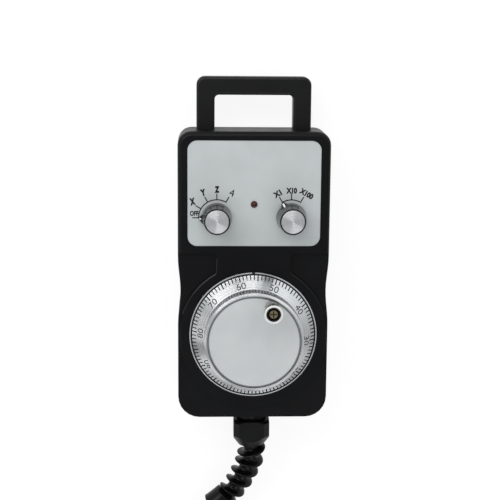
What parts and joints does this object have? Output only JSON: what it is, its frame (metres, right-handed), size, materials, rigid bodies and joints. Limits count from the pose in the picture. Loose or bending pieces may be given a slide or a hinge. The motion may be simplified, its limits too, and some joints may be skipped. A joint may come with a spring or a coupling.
{
  "type": "pulse generator handwheel pendant",
  "caption": "Hand-held machine control pendant with a graduated spinning handwheel, rotary axis and step selectors, indicator lamp, hanging handle and coiled flying lead.",
  "frame": {"origin": "on the flat back face, directly under the handwheel axis", "axes": "+Z out of the operating face, +Y towards the hanging handle, +X to the right as the operator sees the face"},
  "size_m": [0.1375, 0.3936, 0.0699],
  "materials": {
    "housing_abs": "fine textured mould finish",
    "handle_nylon": "satin moulded",
    "seal_rubber": "smooth",
    "zinc_steel": "zinc plated",
    "plate_aluminium": "fine matt anodised, black print",
    "bezel_aluminium": "turned",
    "dial_aluminium": "turned, engraved and filled black",
    "face_disc_aluminium": "matt clear anodised",
    "grip_satin": "satin turned",
    "brass": "turned",
    "grip_screw_nickel": "nickel flash",
    "ground_steel": "ground",
    "encoder_case": "moulded",
    "encoder_scale": "etched",
    "circuit_board": "lacquered",
    "chip_plastic": "moulded",
    "knob_plastic": "polished mould finish",
    "spun_cap": "spun with circular grain",
    "rotor_plastic": "moulded",
    "switch_case": "moulded",
    "switch_wafer": "laminate",
    "lamp_lens": "clear tinted epoxy",
    "spacer_nylon": "natural",
    "terminal_plastic": "moulded",
    "gland_nylon": "satin moulded",
    "guard_nylon": "smooth moulded",
    "cable_pvc": "extruded PVC",
    "connector_metal": "satin nickel",
    "connector_plastic": "moulded"
  },
  "bodies": {
    "pendant": {"front_cover": "housing_abs", "rear_cover": "housing_abs", "housing_seal": "seal_rubber", "cover_screws": "zinc_steel", "hanging_handle": "handle_nylon", "handle_screws": "zinc_steel", "control_plate": "plate_aluminium", "bezel_ring": "bezel_aluminium", "shaft_bearings": "ground_steel", "encoder_body": "encoder_case", "encoder_cap": "encoder_case", "encoder_board": "circuit_board", "encoder_sensor": "encoder_case", "encoder_screws": "zinc_steel", "axis_switch_body": "switch_case", "axis_wafer": "switch_wafer", "axis_nut": "zinc_steel", "multiplier_switch_body": "switch_case", "multiplier_wafer": "switch_wafer", "multiplier_nut": "zinc_steel", "indicator_led": "lamp_lens", "led_spacer": "spacer_nylon", "main_board": "circuit_board", "board_chips": "chip_plastic", "board_screws": "zinc_steel", "terminal_block": "terminal_plastic", "terminal_screws": "zinc_steel", "gland_body": "gland_nylon", "gland_locknut": "gland_nylon", "gland_seal": "seal_rubber", "gland_nut": "gland_nylon", "inner_cable": "cable_pvc", "bend_guard": "guard_nylon", "cable_lead": "cable_pvc", "cable_coil": "cable_pvc", "cable_tail": "cable_pvc", "connector_shell": "connector_metal", "connector_ring": "connector_metal", "connector_insert": "connector_plastic"},
    "handwheel": {"dial": "dial_aluminium", "dial_face": "face_disc_aluminium", "dial_screw": "zinc_steel", "wheel_shaft": "ground_steel", "shaft_clip": "zinc_steel", "encoder_disc": "encoder_scale", "grip_bush": "brass", "grip_washer": "zinc_steel", "grip_screw": "grip_screw_nickel"},
    "spinner_grip": {"grip": "grip_satin"},
    "axis_selector": {"axis_knob": "knob_plastic", "axis_knob_cap": "spun_cap", "axis_set_screw": "zinc_steel", "axis_shaft": "ground_steel", "axis_rotor": "rotor_plastic"},
    "multiplier_selector": {"multiplier_knob": "knob_plastic", "multiplier_knob_cap": "spun_cap", "multiplier_set_screw": "zinc_steel", "multiplier_shaft": "ground_steel", "multiplier_rotor": "rotor_plastic"}
  },
  "joints": [
    {"name": "handwheel_spin", "type": "hinge", "parent": "pendant", "child": "handwheel", "pos_m": [0, 0, 0.046], "axis": [0, 0, 1], "continuous": true},
    {"name": "grip_spin", "type": "hinge", "parent": "handwheel", "child": "spinner_grip", "pos_m": [0.0101, 0.02089, 0.06], "axis": [0, 0, 1], "continuous": true},
    {"name": "axis_select", "type": "hinge", "parent": "pendant", "child": "axis_selector", "pos_m": [-0.02195, 0.0708, 0.04], "axis": [0, 0, 1], "range_deg": [-120, 0]},
    {"name": "multiplier_select", "type": "hinge", "parent": "pendant", "child": "multiplier_selector", "pos_m": [0.02195, 0.0708, 0.04], "axis": [0, 0, 1], "range_deg": [-60, 0]}
  ]
}
